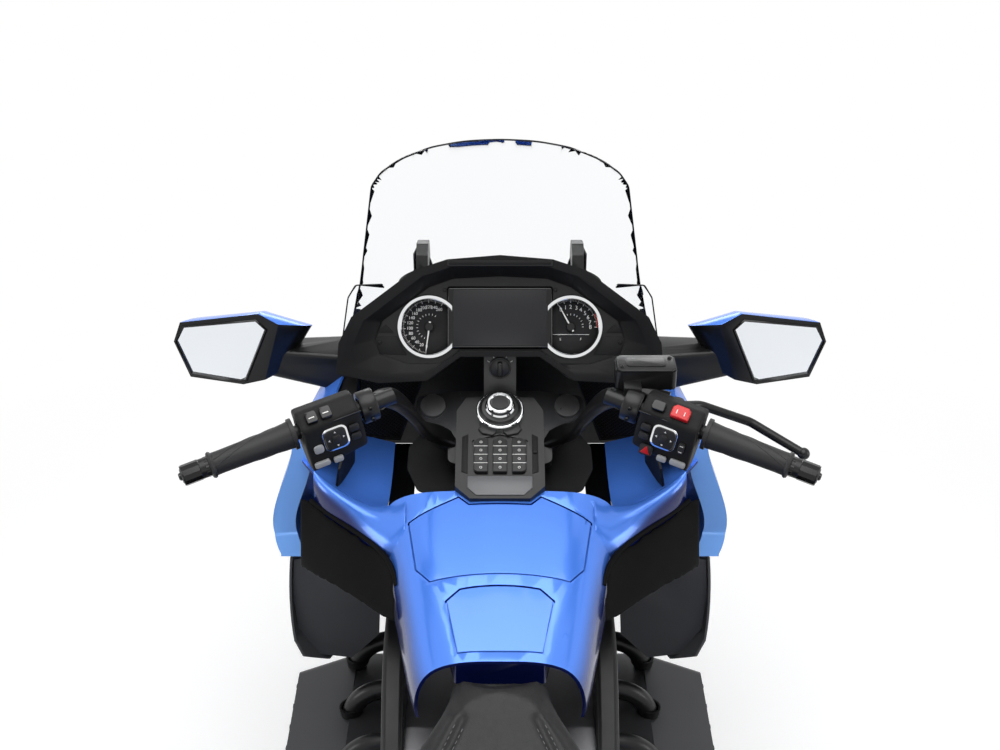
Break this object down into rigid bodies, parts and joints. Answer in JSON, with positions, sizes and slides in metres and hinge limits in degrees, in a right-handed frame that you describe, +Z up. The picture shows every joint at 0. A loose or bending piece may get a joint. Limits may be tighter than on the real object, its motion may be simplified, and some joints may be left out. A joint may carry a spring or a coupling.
{
  "type": "touring motorcycle",
  "caption": "Faired touring motorcycle on its centre stand, with steering, rolling wheels, tank lids, opening side cases and folding stands.",
  "frame": {"origin": "on the floor under the middle of the overall length and width", "axes": "+X the rider's right, +Y forward, +Z up"},
  "size_m": [1.09, 2.475, 1.395],
  "materials": {
    "blue_paint": "gloss metallic",
    "black_trim": "fine grain",
    "dark_cowl": "satin",
    "gloss_black": "gloss",
    "clear_screen": "clear",
    "lamp_lens": "clear lens",
    "red_lens": "red lens",
    "mirror_glass": "mirror",
    "frame_alloy": "black coated",
    "engine_alloy": "cast",
    "head_cover": "satin",
    "chrome": "bright",
    "fork_alloy": "satin",
    "bar_black": "satin black",
    "rim_alloy": "machined and coated",
    "tyre": "matt",
    "rubber": "matt",
    "seat_leather": "grained",
    "plate_white": "blank",
    "radiator_core": "black",
    "stand_steel": "satin black"
  },
  "bodies": {
    "chassis": {"main_frame": "frame_alloy", "engine": "engine_alloy", "side_fairings": "blue_paint", "front_cowl": "blue_paint", "headlights": "lamp_lens", "lower_cowls": "dark_cowl", "cylinder_heads": "head_cover", "exhausts": "chrome", "swingarm": "frame_alloy", "instrument_hood": "black_trim", "instrument_panel": "gloss_black", "windscreen": "clear_screen", "wind_deflectors": "clear_screen", "screen_posts": "black_trim", "mirrors": "blue_paint", "mirror_glasses": "mirror_glass", "top_shelter": "blue_paint", "console": "gloss_black", "knee_pads": "black_trim", "inner_panels": "black_trim", "inner_cowl": "black_trim", "bowl_panels": "blue_paint", "radiators": "radiator_core", "rider_seat": "seat_leather", "passenger_seat": "seat_leather", "side_covers": "blue_paint", "tail_cowl": "blue_paint", "rear_fender": "black_trim", "licence_plate": "plate_white", "tail_light": "red_lens", "grab_rails": "bar_black", "footpegs": "bar_black", "saddlebag_right": "blue_paint", "saddlebag_left": "blue_paint"},
    "steered": {"fork": "fork_alloy", "triple_clamps": "frame_alloy", "steering_cover": "black_trim", "front_fender": "blue_paint", "front_calipers": "bar_black", "handlebar": "bar_black", "grips": "rubber", "switch_housings": "black_trim", "master_cylinder": "bar_black", "brake_lever": "bar_black"},
    "front_wheel": {"front_tyre": "tyre", "front_rim": "rim_alloy"},
    "rear_wheel": {"rear_tyre": "tyre", "rear_rim": "rim_alloy"},
    "pocket_lid": {"pocket_lid": "blue_paint"},
    "fuel_lid": {"fuel_lid": "blue_paint"},
    "saddlebag_door_right": {"saddlebag_door_right": "blue_paint"},
    "saddlebag_door_left": {"saddlebag_door_left": "blue_paint"},
    "centre_stand": {"centre_stand": "stand_steel"},
    "side_stand": {"side_stand": "stand_steel"}
  },
  "joints": [
    {"name": "steering", "type": "hinge", "parent": "chassis", "child": "steered", "pos_m": [0, 0.85891, 0.28549], "axis": [0, -0.5075, 0.8616], "range_deg": [-32, 32]},
    {"name": "front_wheel_roll", "type": "hinge", "parent": "steered", "child": "front_wheel", "pos_m": [0, 0.9175, 0.32], "axis": [1, 0, 0], "continuous": true},
    {"name": "rear_wheel_roll", "type": "hinge", "parent": "chassis", "child": "rear_wheel", "pos_m": [0, -0.7775, 0.325], "axis": [1, 0, 0], "continuous": true},
    {"name": "pocket_lid_hinge", "type": "hinge", "parent": "chassis", "child": "pocket_lid", "pos_m": [0, 0.157, 0.872], "axis": [1, 0, 0], "range_deg": [0, 58]},
    {"name": "fuel_lid_hinge", "type": "hinge", "parent": "chassis", "child": "fuel_lid", "pos_m": [0, 0.028, 0.835], "axis": [1, 0, 0], "range_deg": [0, 78]},
    {"name": "case_door_right_hinge", "type": "hinge", "parent": "chassis", "child": "saddlebag_door_right", "pos_m": [0.392, -0.8, 0.408], "axis": [0, 1, 0], "range_deg": [0, 50]},
    {"name": "case_door_left_hinge", "type": "hinge", "parent": "chassis", "child": "saddlebag_door_left", "pos_m": [-0.392, -0.8, 0.408], "axis": [0, -1, 0], "range_deg": [0, 50]},
    {"name": "centre_stand_pivot", "type": "hinge", "parent": "chassis", "child": "centre_stand", "pos_m": [0, -0.19, 0.235], "axis": [-1, 0, 0], "range_deg": [0, 80]},
    {"name": "side_stand_pivot", "type": "hinge", "parent": "chassis", "child": "side_stand", "pos_m": [-0.232, -0.12, 0.232], "axis": [0.8882, -0.0814, -0.4522], "range_deg": [0, 107]}
  ]
}
